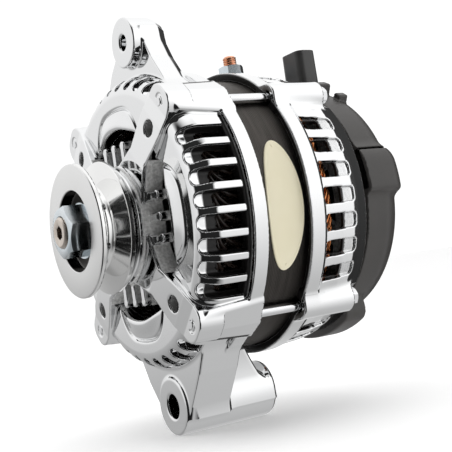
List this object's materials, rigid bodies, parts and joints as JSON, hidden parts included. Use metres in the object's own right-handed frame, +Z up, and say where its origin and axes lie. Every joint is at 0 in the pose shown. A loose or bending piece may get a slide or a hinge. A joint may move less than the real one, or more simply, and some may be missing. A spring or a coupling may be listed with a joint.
{
  "type": "alternator",
  "caption": "Car alternator with polished finned housings, V-belt pulley, pivot foot, adjuster ear, output stud, plug socket and dark rear cover.",
  "frame": {"origin": "where the rotor axis crosses the middle plane of the belt groove", "axes": "+Y along the rotor axis from the pulley towards the rear cover, +Z up towards the adjuster ear, the pivot foot is at the bottom"},
  "size_m": [0.158, 0.1724, 0.2212],
  "materials": {
    "polished_metal": "mirror polished plating",
    "laminated_steel": "dark varnished laminations",
    "dark_winding": "dark varnished winding wire",
    "copper_winding": "enamelled copper wire",
    "zinc_steel": "bright zinc plated",
    "badge_enamel": "satin cream",
    "black_insulator": "matt black",
    "cover_plastic": "satin dark grey",
    "copper": "bare copper",
    "plug_plastic": "satin dark grey",
    "tinned_metal": "tinned",
    "aluminium": "plain",
    "carbon": "pressed carbon",
    "spring_steel": "plain wire",
    "bearing_steel": "ground",
    "cage_metal": "pressed",
    "shaft_steel": "turned",
    "pole_iron": "varnished",
    "fan_metal": "dark phosphate",
    "sleeve_plastic": "moulded",
    "pulley_metal": "polished, satin front flange"
  },
  "bodies": {
    "alternator_body": {"front_housing": "polished_metal", "rear_housing": "polished_metal", "stator_core": "laminated_steel", "front_winding": "dark_winding", "rear_winding": "copper_winding", "through_bolts": "zinc_steel", "badge": "badge_enamel", "rear_insulating_plate": "black_insulator", "rear_cover": "cover_plastic", "cover_nuts": "zinc_steel", "output_stud": "copper", "output_nut": "zinc_steel", "output_insulator": "black_insulator", "output_strap": "copper", "plug_socket": "plug_plastic", "plug_pins": "tinned_metal", "voltage_regulator": "black_insulator", "rectifier_plate": "aluminium", "diodes": "bearing_steel", "brush_holder": "black_insulator", "inner_brush_spring": "spring_steel", "outer_brush_spring": "spring_steel", "front_outer_race": "bearing_steel", "bearing_retainer": "spring_steel", "retainer_screws": "zinc_steel", "rear_outer_race": "bearing_steel"},
    "rotor": {"shaft": "shaft_steel", "front_claw_pole": "pole_iron", "rear_claw_pole": "pole_iron", "field_coil": "copper_winding", "front_fan": "fan_metal", "rear_fan": "fan_metal", "slip_ring_sleeve": "sleeve_plastic", "slip_rings": "copper", "pulley_spacer": "shaft_steel", "pulley": "pulley_metal", "pulley_washer": "zinc_steel", "pulley_nut": "zinc_steel", "front_inner_race": "bearing_steel", "rear_inner_race": "bearing_steel"},
    "front_ball_set": {"front_balls": "bearing_steel", "front_ball_cage": "cage_metal"},
    "rear_ball_set": {"rear_balls": "bearing_steel", "rear_ball_cage": "cage_metal"},
    "inner_brush_slider": {"inner_brush": "carbon"},
    "outer_brush_slider": {"outer_brush": "carbon"}
  },
  "joints": [
    {"name": "rotor_spin", "type": "hinge", "parent": "alternator_body", "child": "rotor", "pos_m": [0, 0, 0], "axis": [0, 1, 0], "continuous": true},
    {"name": "front_ball_roll", "type": "hinge", "parent": "alternator_body", "child": "front_ball_set", "pos_m": [0, 0.0205, 0], "axis": [0, 1, 0], "continuous": true},
    {"name": "rear_ball_roll", "type": "hinge", "parent": "alternator_body", "child": "rear_ball_set", "pos_m": [0, 0.1095, 0], "axis": [0, 1, 0], "continuous": true},
    {"name": "inner_brush_lift", "type": "slide", "parent": "alternator_body", "child": "inner_brush_slider", "axis": [0, 0, 1], "range_m": [0, 0.002], "stiffness_N_per_m": 600, "springref_m": -0.004, "deforming": ["inner_brush_spring"]},
    {"name": "outer_brush_lift", "type": "slide", "parent": "alternator_body", "child": "outer_brush_slider", "axis": [0, 0, 1], "range_m": [0, 0.002], "stiffness_N_per_m": 600, "springref_m": -0.004, "deforming": ["outer_brush_spring"]}
  ],
  "couplings": [
    {"joint": "front_ball_roll", "follows": "rotor_spin", "ratio": 0.375},
    {"joint": "rear_ball_roll", "follows": "rotor_spin", "ratio": 0.38}
  ]
}
